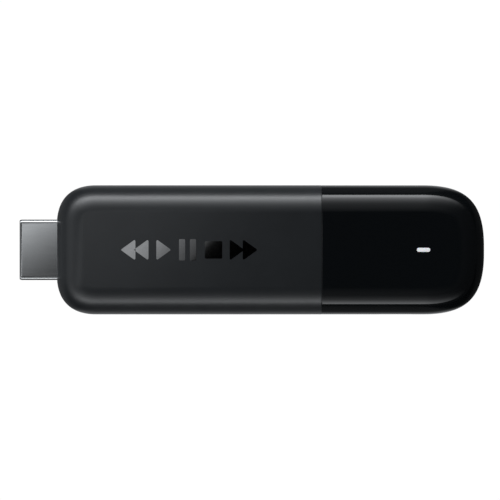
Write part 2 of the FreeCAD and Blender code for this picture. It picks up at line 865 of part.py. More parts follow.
def on_top(name, x, y, length, width, height, lift="0"):
    under = f"{BOARD_TOP} + ({lift})"
    return centred(name, x, y, (under, f"{under} + ({height})"), length, width)


def beneath(name, x, y, length, width, height, drop="0"):
    top = f"{BOARD_UNDER} - ({drop})"
    return centred(name, x, y, (f"{top} - ({height})", top), length, width)


def chips(name, spots, size, place):
    """The same chip at each of its places on the board: one solid, or a group of them."""
    made = [place(f"{name}{i}", x, y, *size) for i, (x, y) in enumerate(spots)]
    return made[0] if len(made) == 1 else group(name, *made)


def spread(start, pitch, count):
    """Evenly spaced places along one axis."""
    return [f"{start + pitch * i:.1f}" for i in range(count)]


def grid(along, across):
    return [(x, y) for x in along for y in across]


node(main_board(), "main_board")
node(group("BoardScrews", *[board_screw(i, x, y) for i, (x, y) in enumerate(SCREW_SPOTS)]), "board_screws")

# One row per node: where its chips are on the board, their length, width and height, and which side
CHIPS = {
    "processor_substrate": ([("-9", "0")], ("12", "12", "0.3"), on_top),
    "processor_package": ([("-9", "0")], ("11.2", "11.2", "0.7", "0.3"), on_top),
    "memory_chip_upper": ([("3.4", "0")], ("7.5", "11", "1"), on_top),
    "memory_chip_lower": ([("3", "0")], ("7.5", "11", "1"), beneath),
    "storage_chip": ([("-12", "0")], ("11.5", "13", "1"), beneath),
    "radio_module_board": ([("22.4", "4.6")], ("12", "11", "0.5"), on_top),
    "radio_module_can": ([("22.4", "4.6")], ("10.8", "9.8", "1.1", "0.5"), on_top),
    "power_regulators": ([("19.4", "-5.2"), ("24.6", "-5.2"), ("-20", "5.4")], ("3", "3", "0.8"), on_top),
    "power_inductors": ([("19.4", "-9"), ("24.6", "-9"), ("-20", "-5")], ("3.6", "3.2", "1.5"), on_top),
    "crystals": ([("-18.6", "0.6"), ("31", "1.6")], ("2.5", "2", "0.6"), on_top),
    "hdmi_surge_arrays": (grid(["-30.2"], spread(-4.6, 3.1, 4)), ("1.6", "2.2", "0.6"), on_top),
    "hdmi_filter_chokes": (grid(["-33.4"], spread(-4.6, 3.1, 4)), ("1.2", "2", "0.7"), on_top),
    "input_fuse": ([("29.4", "-4.6")], ("1.6", "3.2", "0.6"), on_top),
    "input_capacitors": ([("33.4", "-4.4"), ("36.9", "-4.4")], ("2", "3.2", "1.6"), on_top),
    "ceramic_capacitors_upper": (grid(spread(-16, 2.4, 6), ("-7.2", "7.2")), ("1", "0.5", "0.5"), on_top),
    "ceramic_capacitors_lower": (grid(spread(16, 2.2, 7), ("-4", "0", "4")), ("1", "0.5", "0.5"), beneath),
    "resistors": (grid(["-27.9"], spread(-5.6, 1.6, 8)), ("0.5", "1", "0.35"), on_top),
}
for label, (spots, size, place) in CHIPS.items():
    title = "".join(word.capitalize() for word in label.split("_"))
    node(chips(title, spots, size, place), label)


# ---- shields, thermal pads and heat spreaders ------------------------------------------------------


def can_box(name, side, inset, low, high):
    """A box over the shielded area; low and high are heights above, or depths below, the board."""
    zs = (f"{BOARD_TOP} + {low}", f"{BOARD_TOP} + {high}")
    if side < 0:
        zs = (f"{BOARD_UNDER} - ({high})", f"{BOARD_UNDER} - ({low})")
    return block(
        name,
        (f"-can_start + {inset}", f"-can_start + can_length - {inset}"),
        (f"-can_width / 2 + {inset}", f"can_width / 2 - {inset}"),
        zs,
    )


def shield_frame(name, side):
    """A soldered fence with an inward flange at its top."""
    wall = can_box(name + "Wall", side, "can_sheet", "0", CAN_INNER)
    room = can_box(name + "Room", side, "2 * can_sheet", "-1", f"{CAN_INNER} - can_sheet")
    window = can_box(name + "Window", side, "1.1", "-1", "can_height + 1")
    return cut(name, wall, room, window)


def shield_lid(name, side):
    """A lid that clips over the fence's outside."""
    whole = can_box(name + "Whole", side, "0", "0.5", "can_height")
    room = can_box(name + "LidRoom", side, "can_sheet", "-1", CAN_INNER)
    return cut(name, whole, room)


def heat_spreader(name, low, high):
    """An aluminium plate notched for the mid screws."""
    plate = block(
        name + "Plate", ("-spreader_start", "spreader_end"), ("-spreader_width / 2", "spreader_width / 2"),
        (low, high),
    )
    notches = [
        rod(f"{name}Notch{i}", "Z", ("screw_mid_x", f"{side} * screw_mid_y", low), "boss_radius + 0.9", "3")
        for i, side in enumerate((1, -1))
    ]
    body = cut(name + "Notched", plate, *notches)
    rounded = doc.addObject("Part::Fillet", name)
    rounded.Base = body
    doc.recompute()
    ends = [number("-spreader_start"), number("spreader_end")]
    picked = [
        index
        for index, edge in enumerate(body.Shape.Edges, 1)
        if runs_along("Z")(edge) and min(abs(edge.Vertexes[0].Point.x - x) for x in ends) < 1e-6
    ]
    radius = number("spreader_corner")
    rounded.Edges = [(index, radius, radius) for index in picked]
    return rounded


for side, word, place in ((1, "upper", on_top), (-1, "lower", beneath)):
    title = word.capitalize()
    node(shield_frame(title + "Frame", side), f"shield_frame_{word}")
    node(shield_lid(title + "Lid", side), f"shield_lid_{word}")
    node(
        place(title + "SpreaderPad", "-7.5", "0", "30", "14", "soft_pad", "can_height"),
        f"spreader_pad_{word}",
    )
node(on_top("ProcessorPad", "-9", "0", "11", "11", f"{CAN_INNER} - 1", "1"), "processor_pad")
node(on_top("MemoryPadUpper", "3.4", "0", "7", "10.4", f"{CAN_INNER} - 1", "1"), "memory_pad_upper")
node(beneath("MemoryPadLower", "3", "0", "7", "10.4", f"{CAN_INNER} - 1", "1"), "memory_pad_lower")
node(beneath("StoragePad", "-12", "0", "11", "12.4", f"{CAN_INNER} - 1", "1"), "storage_pad")
node(heat_spreader("UpperSpreader", UPPER_PLATE, f"{UPPER_PLATE} + spreader_sheet"), "heat_spreader_upper")
node(heat_spreader("LowerSpreader", f"{LOWER_PLATE} - spreader_sheet", LOWER_PLATE), "heat_spreader_lower")


# ---- antennas --------------------------------------------------------------------------------------


def antenna(name, side):
    """A stamped inverted-F strip standing on the board's tail."""
    start, end = "37.6", "46.6"
    top = f"{BOARD_TOP} + 3.2"
    arm = f"{top} - 1.1"
    loop = [
        (start, BOARD_TOP),
        (f"{start} + 0.8", BOARD_TOP),
        (f"{start} + 0.8", arm),
        (f"{start} + 2.6", arm),
        (f"{start} + 2.6", BOARD_TOP),
        (f"{start} + 3.4", BOARD_TOP),
        (f"{start} + 3.4", arm),
        (end, arm),
        (end, top),
        (start, top),
    ]
    body, _ = profile(name, "XZ", f"{-side} * 6.6", [loop], "0.3", middle=True)
    return body


node(antenna("WifiAntenna", 1), "wifi_antenna")
node(antenna("BluetoothAntenna", -1), "bluetooth_antenna")


# ---- front mark ------------------------------------------------------------------------------------


def mark_piece(name, corners):
    body, feature = profile(name, "XY", "body_height", [corners], "mark_foil")
    round_edges(body, feature, runs_along("Z"), "0.25")
    return body


def triangle(x, way):
    """A playback triangle pointing along way, its box starting at x."""
    half, deep = "mark_height / 2", 3.4
    back, tip = (x, x + deep) if way > 0 else (x + deep, x)
    back, tip = f"-mark_start + {back}", f"-mark_start + {tip}"
    corners = [(back, f"-{half}"), (tip, "0"), (back, half)]
    return corners if way > 0 else corners[::-1]


def bar(x, width, height="mark_height"):
    low, high = f"-mark_start + {x}", f"-mark_start + {x + width}"
    half = f"{height} / 2"
    return [(low, f"-{half}"), (high, f"-{half}"), (high, half), (low, half)]


MARKS = [
    triangle(0.0, -1),
    triangle(3.0, -1),
    triangle(8.2, 1),
    bar(13.4, 1.4),
    bar(15.9, 1.4),
    bar(19.3, 4.0, "4.0"),
    triangle(25.0, 1),
    triangle(28.0, 1),
]
pieces = [mark_piece(f"Mark{i}", corners) for i, corners in enumerate(MARKS)]
node(group("FrontMark", *pieces), "front_mark")


# ---- check and write -------------------------------------------------------------------------------

doc.recompute()
failed = [o.Name for o in doc.Objects if {"Invalid", "Error"} & set(o.State)]
failed += [o.Label for o in nodes if o.Shape.isNull() or not o.Shape.isValid()]
if failed:
    raise SystemExit(f"failed objects: {failed}")
os.makedirs("parts", exist_ok=True)
for old in os.listdir("parts"):
    os.remove(os.path.join("parts", old))
for piece in nodes:
    piece.Shape.exportStep(f"parts/{piece.Label}.step")
    box = piece.Shape.BoundBox
    print(
        f"{piece.Label:28s} solids {len(piece.Shape.Solids):2d}  volume {piece.Shape.Volume:9.3f}"
        f"  z {box.ZMin:6.2f} to {box.ZMax:6.2f}"
    )
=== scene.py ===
import json
import math

import bmesh
import bpy
import numpy as np
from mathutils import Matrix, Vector


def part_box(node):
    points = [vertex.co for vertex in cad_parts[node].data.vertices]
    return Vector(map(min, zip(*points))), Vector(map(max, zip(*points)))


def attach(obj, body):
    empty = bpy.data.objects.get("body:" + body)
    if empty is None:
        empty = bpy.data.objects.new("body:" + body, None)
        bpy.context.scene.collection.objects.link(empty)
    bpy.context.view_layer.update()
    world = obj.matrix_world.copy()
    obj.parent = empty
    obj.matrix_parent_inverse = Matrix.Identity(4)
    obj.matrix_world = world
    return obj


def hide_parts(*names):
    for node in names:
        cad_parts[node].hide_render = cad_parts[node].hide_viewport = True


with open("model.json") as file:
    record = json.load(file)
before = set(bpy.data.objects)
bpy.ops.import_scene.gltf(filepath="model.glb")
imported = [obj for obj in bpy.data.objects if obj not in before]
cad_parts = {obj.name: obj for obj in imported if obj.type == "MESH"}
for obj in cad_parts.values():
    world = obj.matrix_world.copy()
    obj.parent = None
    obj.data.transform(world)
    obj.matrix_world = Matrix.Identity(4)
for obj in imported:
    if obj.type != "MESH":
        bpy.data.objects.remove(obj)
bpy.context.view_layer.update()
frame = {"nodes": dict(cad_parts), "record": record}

# The looks of a streaming media stick. Metres, in the frame's axes: the HDMI plug points to -X, the status
# light looks up, +Z, and the power port opens to -Y. Places come from the frame's own boxes.

nodes = frame["nodes"]
MM = 0.001

COVER_LOW, COVER_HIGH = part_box("upper_cover")
CAP_LOW, CAP_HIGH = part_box("tail_cap")
PLUG_LOW, PLUG_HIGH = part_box("hdmi_plug_shell")
LIGHT_LOW, LIGHT_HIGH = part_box("status_light_guide")
PORT_LOW, PORT_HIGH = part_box("usb_port_shell")

NOSE_X, TAIL_X = COVER_LOW.x, CAP_HIGH.x
HALF_WIDTH = COVER_HIGH.y
TOP_Z = COVER_HIGH.z
MID_Z = TOP_Z / 2
EDGE_ROUND = 6.4 * MM
WALL = 1.5 * MM
EASE = 0.09 * MM
# An eased edge: how far along from it, and how deep
EASE_STEPS = [(0.0, EASE), (0.3 * EASE, 0.3 * EASE), (EASE, 0.0)]
NOSE_CORNER = (9.0 * MM, 0.646)
TAIL_CORNER = (14.0 * MM, 0.72)
SEAM_X = CAP_LOW.x
# The covers' skin stops this short of the cap's, so no light shows through the seam
SEAM_HAIRLINE = 0.002 * MM
PARTING_GAP = 0.1 * MM
# The matte covers' shading normals lean out on the shoulders by up to this many degrees more than the glossy
# cap's; their shape is the same
COVER_SOFTNESS = 3.7
LIGHT_X = (LIGHT_LOW.x + LIGHT_HIGH.x) / 2
LIGHT_SIZE = (2.97 * MM, 0.83 * MM)
PORT_X = (PORT_LOW.x + PORT_HIGH.x) / 2
PORT_Z = (PORT_LOW.z + PORT_HIGH.z) / 2
PORT_HOLE = (8.5 * MM, 3.3 * MM, 1.0 * MM)
PLUG_FIT = 0.12 * MM
PLUG_BEND = 0.9 * MM
PLUG_SHEET = 0.3 * MM
PLUG_SIDE = 2.65 * MM
PLUG_FOOT = 10.4 * MM

CORNER_STEPS = 48
ROUND_STEPS = 30


# ---- outlines and sections ---------------------------------------------------------------------------


def bezier(poles, t):
    """A cubic's point and direction at t."""
    a, b, c, d = (np.array(p) for p in poles)
    point = (1 - t) ** 3 * a + 3 * t * (1 - t) ** 2 * b + 3 * t * t * (1 - t) * c + t**3 * d
    way = (1 - t) ** 2 * (b - a) + 2 * t * (1 - t) * (c - b) + t * t * (d - c)
    return point, way / np.linalg.norm(way)


def corner_poles(end_x, reach, fullness, way):
    """The case's +Y corner at one end, from its long side to its end."""
    handle = reach * (1 - fullness)
    return [
        (end_x - way * reach, HALF_WIDTH),
        (end_x - way * handle, HALF_WIDTH),
        (end_x, HALF_WIDTH - handle),
        (end_x, HALF_WIDTH - reach),
    ]


def outline(end_x, corner, way, seam_x, side_steps=14, end_steps=8):
    """Stations (x, y, outward x, outward y) from the seam on the +Y side round the end to the -Y side."""
    reach, fullness = corner
    poles = corner_poles(end_x, reach, fullness, way)
    side = np.linspace(seam_x, end_x - way * reach, side_steps + 1)[:-1]
    stations = [(x, HALF_WIDTH, 0.0, 1.0) for x in side]
    for t in np.linspace(0, 1, CORNER_STEPS + 1):
        (x, y), (dx, dy) = bezier(poles, t)
        stations.append((x, y, -dy * way, dx * way))
    stations += [(end_x, y, float(way), 0.0) for y in np.linspace(HALF_WIDTH - reach, 0, end_steps + 1)[1:-1]]
    mirrored = [(x, -y, nx, -ny) for x, y, nx, ny in reversed(stations)]
    return stations + [(end_x, 0.0, float(way), 0.0)] + mirrored


def upper_round():
    """The section's upper edge (inset, height, normal out, normal up), from the side to the flat top."""
    rows = []
    for angle in np.linspace(0, math.pi / 2, ROUND_STEPS + 1):
        out, up = math.cos(angle), math.sin(angle)
        rows.append((EDGE_ROUND * (1 - out), TOP_Z - EDGE_ROUND * (1 - up), out, up))
    return rows


def lower_round():
    """The same for the lower edge, from the flat underside to the side."""
    return [(inset, TOP_Z - z, out, -up) for inset, z, out, up in reversed(upper_round())]


def side_rows(low, high, steps=6):
    return [(0.0, z, 1.0, 0.0) for z in np.linspace(low, high, steps + 1)[1:-1]]


def rounded_loop(corners, radii, steps=8):
    """A closed loop of points and outward normals round a convex polygon listed anticlockwise."""
    loop = []
    count = len(corners)
    for index, radius in enumerate(radii):
        here = Vector(corners[index])
        before = (Vector(corners[index - 1]) - here).normalized()
        after = (Vector(corners[(index + 1) % count]) - here).normalized()
        half = before.angle(after) / 2
        centre = here + (before + after).normalized() * radius / math.sin(half)
        start = Vector((-before.y, before.x))
        sweep = math.pi - 2 * half
        for step in range(steps + 1):
            angle = sweep * step / steps
            normal = Vector(
                (
                    start.x * math.cos(angle) - start.y * math.sin(angle),
                    start.x * math.sin(angle) + start.y * math.cos(angle),
                )
            )
            loop.append((centre + normal * radius, normal))
    return loop


# ---- meshes ------------------------------------------------------------------------------------------


def new_piece(name, bm):
    bmesh.ops.recalc_face_normals(bm, faces=bm.faces)
    mesh = bpy.data.meshes.new(name)
    bm.to_mesh(mesh)
    bm.free()
    piece = bpy.data.objects.new(name, mesh)
    bpy.context.scene.collection.objects.link(piece)
    return piece


def eased(stations, way):
    """Adds the small round of an edge at both ends of a row of stations: (station, depth)."""
    first, last = stations[0], stations[-1]

    def moved(station, shift):
        return (station[0] + way * shift, *station[1:])

    lead = [(moved(first, along), depth) for along, depth in EASE_STEPS]
    tail = [(moved(last, along), depth) for along, depth in reversed(EASE_STEPS)]
    return lead + [(station, 0.0) for station in stations[1:-1]] + tail


def case_shell(name, stations, rows, way, flat_below):
    """A closed shell of even wall: the case's surface between a seam and an end, and its inside."""
    bm = bmesh.new()
    outer, inner = {}, {}
    columns = eased(stations, way)
    for i, ((x, y, nx, ny), station_depth) in enumerate(columns):
        for j, ((inset, z, out, up), row_depth) in enumerate(rows):
            normal = Vector((nx * out, ny * out, up))
            place = Vector((x - nx * inset, y - ny * inset, z))
            outer[i, j] = bm.verts.new(place - normal * max(station_depth, row_depth))
            inner[i, j] = bm.verts.new(place - normal * WALL)
    last, top = len(columns) - 1, len(rows) - 1
    loops = []
    for i in range(last):
        for j in range(top):
            loops.append([(i, j), (i + 1, j), (i + 1, j + 1), (i, j + 1)])
    for j in [top] + ([0] if flat_below else []):
        for i in range(2):
            loops.append([(i, j), (i + 1, j), (last - i - 1, j), (last - i, j)])
        loops.append([(i, j) for i in range(2, last - 1)])
    for loop in loops:
        bm.faces.new([outer[key] for key in loop])
        bm.faces.new([inner[key] for key in reversed(loop)])
    twin = {outer[key]: inner[key] for key in outer}
    rims = [edge for edge in bm.edges if edge.is_boundary and edge.verts[0] in twin]
    for edge in rims:
        a, b = edge.verts
        bm.faces.new([a, b, twin[b], twin[a]])
    return new_piece(name, bm)


def prism(name, loop, place, depth):
    """A solid bar: a closed loop of flat points, placed in space, and swept by a vector."""
    bm = bmesh.new()
    near = [bm.verts.new(place(point)) for point, _ in loop]
    far = [bm.verts.new(place(point) + depth) for point, _ in loop]
    bm.faces.new(near)
    bm.faces.new(far[::-1])
    for k in range(len(loop)):
        m = (k + 1) % len(loop)
        bm.faces.new([near[k], near[m], far[m], far[k]])
    return new_piece(name, bm)


def combine(piece, tool, operation):
    """Joins the tool to the piece or cuts it out, for good."""
    modifier = piece.modifiers.new("combine", "BOOLEAN")
    modifier.operation = operation
    modifier.solver = "EXACT"
    modifier.object = tool
    depsgraph = bpy.context.evaluated_depsgraph_get()
    mesh = bpy.data.meshes.new_from_object(piece.evaluated_get(depsgraph))
    piece.modifiers.clear()
    piece.data = mesh
    mesh.name = piece.name
    bpy.data.objects.remove(tool)


def carve(piece, cutter):
    combine(piece, cutter, "DIFFERENCE")


def nearest_outward(points):
    """For points seen from above, the outward direction of the case's outline nearest to each."""
    table = []
    for end_x, corner, way in ((NOSE_X, NOSE_CORNER, -1), (TAIL_X, TAIL_CORNER, 1)):
        poles = corner_poles(end_x, *corner, way)
        for t in np.linspace(0, 1, 1200):
            (x, y), (dx, dy) = bezier(poles, t)
            table.append((x, y, -dy * way, dx * way))
    table = np.array(table)
    outward = np.empty((len(points), 2))
    for k, (x, y) in enumerate(points):
        if NOSE_X + NOSE_CORNER[0] <= x <= TAIL_X - TAIL_CORNER[0]:
            outward[k] = (0, 1 if y > 0 else -1)
            continue
        index = np.argmin((table[:, 0] - x) ** 2 + (table[:, 1] - abs(y)) ** 2)
        outward[k] = (table[index, 2], table[index, 3] * (1 if y > 0 else -1))
        way, reach = (-1, NOSE_CORNER[0]) if x < 0 else (1, TAIL_CORNER[0])
        if abs(y) < HALF_WIDTH - reach:
            outward[k] = (way, 0)
    return outward


def shade_case(piece, softness=0.0):
    """Gives the outer skin the case's own normals, leaned out on the shoulders by up to softness degrees."""
    mesh = piece.data
    places = np.array([v.co for v in mesh.vertices])
    outward = nearest_outward(places[:, :2])
    above = np.clip((places[:, 2] - (TOP_Z - EDGE_ROUND)) / EDGE_ROUND, 0, 1)
    below = np.clip((EDGE_ROUND - places[:, 2]) / EDGE_ROUND, 0, 1)
    rise = np.arcsin(above - below)
    rise -= math.radians(softness) * np.sin(2 * rise)
    exact = np.column_stack([outward * np.cos(rise)[:, None], np.sin(rise)])
    skin = set()
    for face in mesh.polygons:
        average = Vector(exact[list(face.vertices)].mean(axis=0)).normalized()
        if average.dot(face.normal) > 0.985:
            skin.add(face.index)
    set_normals(mesh, lambda face, vertex: Vector(exact[vertex]) if face.index in skin else face.normal)


def tube(name, loop, stations, sheet):
    """A folded tube along X: (x, depth, tilt) stations of the outside, then straight walls inside."""
    bm = bmesh.new()
    rings = []
    exact = []
    for x, depth, tilt in stations:
        rings.append([bm.verts.new((x, *(point - normal * depth))) for point, normal in loop])
        exact += [Vector((-math.sin(tilt), *(normal * math.cos(tilt)))) for _, normal in loop]
    for x in (stations[-1][0], stations[0][0]):
        rings.append([bm.verts.new((x, *(point - normal * sheet))) for point, normal in loop])
    for k, ring in enumerate(rings):
        following = rings[(k + 1) % len(rings)]
        for a in range(len(loop)):
            b = (a + 1) % len(loop)
            bm.faces.new([ring[a], ring[b], following[b], following[a]])
    piece = new_piece(name, bm)
    outside = (len(stations) - 1) * len(loop)
    set_normals(piece.data, lambda face, vertex: exact[vertex] if face.index < outside else face.normal)
    return piece


def set_normals(mesh, normal_at):
    """Gives each face corner the normal that normal_at(face, vertex) says."""
    normals = [None] * len(mesh.loops)
    for face in mesh.polygons:
        for loop_index, vertex in zip(face.loop_indices, face.vertices):
            normals[loop_index] = normal_at(face, vertex)
    mesh.shade_smooth()
    mesh.normals_split_custom_set(normals)


def smooth_by_angle(piece, degrees=30):
    piece.data.shade_smooth()
    bpy.context.view_layer.objects.active = piece
    piece.select_set(True)
    bpy.ops.object.shade_smooth_by_angle(angle=math.radians(degrees))
    piece.select_set(False)


# ---- materials ---------------------------------------------------------------------------------------


class Shader:
    """A node material under construction, with short ways to add and join nodes."""

    def __init__(self, name, **values):
        self.material = bpy.data.materials.new(name)
        self.material.use_nodes = True
        self.tree = self.material.node_tree
        self.principled = self.tree.nodes["Principled BSDF"]
        self.coordinates = self.tree.nodes.new("ShaderNodeTexCoord").outputs["Object"]
        for socket, value in values.items():
            self.principled.inputs[socket.replace("_", " ")].default_value = value

    def node(self, kind, **inputs):
        made = self.tree.nodes.new(kind)
        for socket, value in inputs.items():
            self.put(made.inputs[socket.replace("_", " ")], value)
        return made

    def put(self, socket, value):
        if isinstance(value, bpy.types.NodeSocket):
            self.tree.links.new(value, socket)
        else:
            socket.default_value = value

    def stretched(self, x, y, z):
        mapping = self.node("ShaderNodeMapping", Vector=self.coordinates)
        mapping.inputs["Scale"].default_value = (x, y, z)
        return mapping.outputs["Vector"]

    def noise(self, scale, detail=3.0, roughness=0.55, vector=None):
        made = self.node(
            "ShaderNodeTexNoise", Scale=scale, Detail=detail, Roughness=roughness,
            Vector=vector or self.coordinates,
        )
        return made.outputs["Fac"]

    def cells(self, scale):
        made = self.node("ShaderNodeTexVoronoi", Scale=scale, Vector=self.coordinates)
        return made.outputs["Distance"]

    def between(self, value, low, high, start=0.0, end=1.0):
        made = self.node("ShaderNodeMapRange", Value=value)
        for socket, number in (("From Min", start), ("From Max", end), ("To Min", low), ("To Max", high)):
            made.inputs[socket].default_value = number
        return made.outputs["Result"]

    def colours(self, value, first, second, start=0.0, end=1.0):
        ramp = self.node("ShaderNodeValToRGB", Fac=value)
        ramp.color_ramp.elements[0].position = start
        ramp.color_ramp.elements[1].position = end
        ramp.color_ramp.elements[0].color = (*first, 1)
        ramp.color_ramp.elements[1].color = (*second, 1)
        return ramp.outputs["Color"]

    def math(self, operation, a, b=0.0):
        made = self.tree.nodes.new("ShaderNodeMath")
        made.operation = operation
        self.put(made.inputs[0], a)
        self.put(made.inputs[1], b)
        return made.outputs[0]

    def bump(self, height, distance, strength=1.0, under=None):
        made = self.node("ShaderNodeBump", Height=height, Distance=distance, Strength=strength)
        if under:
            self.put(made.inputs["Normal"], under)
        return made.outputs["Normal"]

    def finish(self, **links):
        for socket, value in links.items():
            self.put(self.principled.inputs[socket.replace("_", " ")], value)
        return self.material


def matte_plastic():
    """Black moulding with a fine spark-eroded grain that scatters the light softly."""
    s = Shader("matte_plastic_grain", IOR=1.52, Specular_IOR_Level=1.0)
    grain = s.noise(5200, 4.0, 0.6)
    cells = s.cells(6800)
    mottle = s.noise(160, 3.0)
    base = s.colours(mottle, (0.0178, 0.0210, 0.0242), (0.0216, 0.0254, 0.0292), 0.3, 0.7)
    rough = s.between(grain, 0.31, 0.37, 0.3, 0.7)
    coarse = s.bump(cells, 0.000003, 0.3)
    return s.finish(Base_Color=base, Roughness=rough, Normal=s.bump(grain, 0.000004, 0.35, coarse))


def gloss_plastic():
    """Piano-black moulding: a faint orange-peel ripple, a few hairlines and a breath of dust."""
    s = Shader("gloss_plastic_black", IOR=1.5)
    ripple = s.noise(420, 1.0, 0.4)
    hairlines = s.noise(900, 2.0, 0.5, s.stretched(0.12, 1.0, 1.0))
    dust = s.cells(1500)
    base = s.colours(dust, (0.0120, 0.0130, 0.0140), (0.0078, 0.0094, 0.0108), 0.02, 0.09)
    rough = s.between(hairlines, 0.05, 0.085, 0.35, 0.75)
    return s.finish(Base_Color=base, Roughness=rough, Normal=s.bump(ripple, 0.000004, 0.25))


def nickel_plate():
    """Nickel on rolled sheet: a satin grain along the plug and light rubbing from being plugged in."""
    s = Shader("nickel_plated_sheet", Metallic=1.0)
    grain = s.noise(2600, 4.0, 0.6, s.stretched(0.06, 1.0, 1.0))
    rub = s.noise(700, 3.0, 0.6, s.stretched(0.10, 1.0, 1.0))
    cloud = s.noise(210, 2.0)
    base = s.colours(cloud, (0.53, 0.54, 0.545), (0.56, 0.57, 0.575), 0.3, 0.7)
    rough = s.math("ADD", s.between(grain, 0.13, 0.16, 0.3, 0.7), s.between(rub, -0.01, 0.02, 0.45, 0.7))
    return s.finish(Base_Color=base, Roughness=rough, Normal=s.bump(grain, 0.0000006, 0.15))


def mirror_foil():
    """Hot-stamped silver foil on the grained plastic: bright, with the grain just pressing through."""
    s = Shader("mirror_foil", Metallic=1.0)
    grain = s.noise(5200, 3.0, 0.6)
    wear = s.noise(1300, 4.0, 0.7)
    base = s.colours(wear, (0.76, 0.765, 0.77), (0.83, 0.835, 0.84), 0.25, 0.6)
    rough = s.between(grain, 0.05, 0.09, 0.3, 0.7)
    return s.finish(Base_Color=base, Roughness=rough, Normal=s.bump(grain, 0.0000008, 0.15))


def milky_light():
    """Milky diffuser, lit softly from the lamp under its middle."""
    s = Shader("milky_diffuser", IOR=1.49)
    cloud = s.noise(2400, 2.0)
    base = s.colours(cloud, (0.80, 0.81, 0.82), (0.88, 0.89, 0.90))
    s.principled.inputs["Subsurface Weight"].default_value = 0.35
    s.principled.inputs["Subsurface Scale"].default_value = 0.0006
    s.principled.inputs["Emission Strength"].default_value = 0.46
    glow = s.colours(cloud, (0.92, 0.95, 1.0), (1.0, 1.0, 1.0))
    rough = s.between(cloud, 0.28, 0.36)
    return s.finish(Base_Color=base, Roughness=rough, Emission_Color=glow)


def moulded(name, dark, light, rough_low, rough_high, scale=2600, height=0.000005):
    """Any moulded or fired piece: two close tones in clouds, uneven roughness and a fine grain."""
    s = Shader(name)
    cloud = s.noise(scale / 9, 3.0)
    grain = s.noise(scale, 4.0, 0.6)
    base = s.colours(cloud, dark, light, 0.3, 0.7)
    rough = s.between(grain, rough_low, rough_high, 0.3, 0.7)
    return s.finish(Base_Color=base, Roughness=rough, Normal=s.bump(grain, height, 0.5))


def rolled(name, dark, light, rough_low, rough_high):
    """Rolled or stamped metal with its grain along the length."""
    s = Shader(name, Metallic=1.0)
    grain = s.noise(1800, 4.0, 0.6, s.stretched(0.05, 1.0, 1.0))
    cloud = s.noise(150, 2.0)
    base = s.colours(cloud, dark, light, 0.3, 0.7)
    rough = s.between(grain, rough_low, rough_high, 0.3, 0.7)
    return s.finish(Base_Color=base, Roughness=rough, Normal=s.bump(grain, 0.000002, 0.4))


def board_mask():
    """Solder mask: the copper's tracks read through it as a lighter, slightly raised pattern."""
    s = Shader("solder_mask", IOR=1.52)
    tracks = s.node("ShaderNodeTexBrick", Vector=s.coordinates, Scale=420.0, Mortar_Size=0.06)
    fill = s.noise(350, 2.0)
    tone = s.colours(tracks.outputs["Fac"], (0.008, 0.040, 0.024), (0.016, 0.075, 0.040))
    shade = s.colours(fill, (0.7, 0.7, 0.7), (1.0, 1.0, 1.0))
    mixed = s.node("ShaderNodeMix")
    mixed.data_type = "RGBA"
    mixed.blend_type = "MULTIPLY"
    mixed.inputs[0].default_value = 1.0
    s.put(mixed.inputs[6], tone)
    s.put(mixed.inputs[7], shade)
    rough = s.between(fill, 0.24, 0.36)
    bump = s.bump(tracks.outputs["Fac"], 0.00002, 0.5)
    return s.finish(Base_Color=mixed.outputs[2], Roughness=rough, Normal=bump)


SLOT_MATERIALS = {
    "matte_shell": matte_plastic(),
    "gloss_cap": gloss_plastic(),
    "mark_foil": mirror_foil(),
    "light_diffuser": milky_light(),
    "dark_moulding": moulded("black_moulding", (0.012, 0.012, 0.013), (0.022, 0.022, 0.023), 0.42, 0.55),
    "plug_nickel": nickel_plate(),
    "contact_gold": rolled("gold_flash", (0.70, 0.47, 0.17), (0.86, 0.62, 0.27), 0.18, 0.30),
    "solder_mask": board_mask(),
    "chip_epoxy": moulded("chip_epoxy", (0.018, 0.018, 0.019), (0.034, 0.034, 0.035), 0.55, 0.7),
    "chip_substrate": moulded("laminate", (0.03, 0.08, 0.035), (0.05, 0.12, 0.05), 0.4, 0.5),
    "shield_tin": rolled("tin_plate", (0.52, 0.52, 0.50), (0.64, 0.64, 0.62), 0.28, 0.42),
    "screw_steel": rolled("black_zinc", (0.16, 0.16, 0.17), (0.26, 0.26, 0.27), 0.30, 0.42),
    "ferrite": moulded("pressed_ferrite", (0.045, 0.043, 0.041), (0.075, 0.072, 0.068), 0.6, 0.75, 3400),
    "ceramic": moulded("fired_ceramic", (0.38, 0.27, 0.16), (0.52, 0.39, 0.25), 0.35, 0.5),
    "thermal_pad": moulded("soft_silicone", (0.30, 0.36, 0.47), (0.40, 0.46, 0.56), 0.7, 0.85, 1500, 0.00001),
    "spreader_aluminium": rolled("rolled_aluminium", (0.66, 0.66, 0.67), (0.76, 0.76, 0.77), 0.25, 0.38),
    "led_base": moulded("white_moulding", (0.72, 0.72, 0.70), (0.82, 0.82, 0.80), 0.4, 0.5),
    "led_lens": moulded("phosphor_resin", (0.80, 0.72, 0.30), (0.90, 0.82, 0.42), 0.15, 0.25),
}


def dress_nodes():
    """Gives every CAD node the material of its slot."""
    for part in frame["record"]["subparts"]:
        piece = nodes[part["node"]]
        piece.data.materials.clear()
        piece.data.materials.append(SLOT_MATERIALS[part["material_slot"]])


def stand_for(piece, node, slot):
    piece.data.materials.clear()
    piece.data.materials.append(SLOT_MATERIALS[slot])
    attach(piece, "root")
    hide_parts(node)


# ---- the visible pieces ------------------------------------------------------------------------------


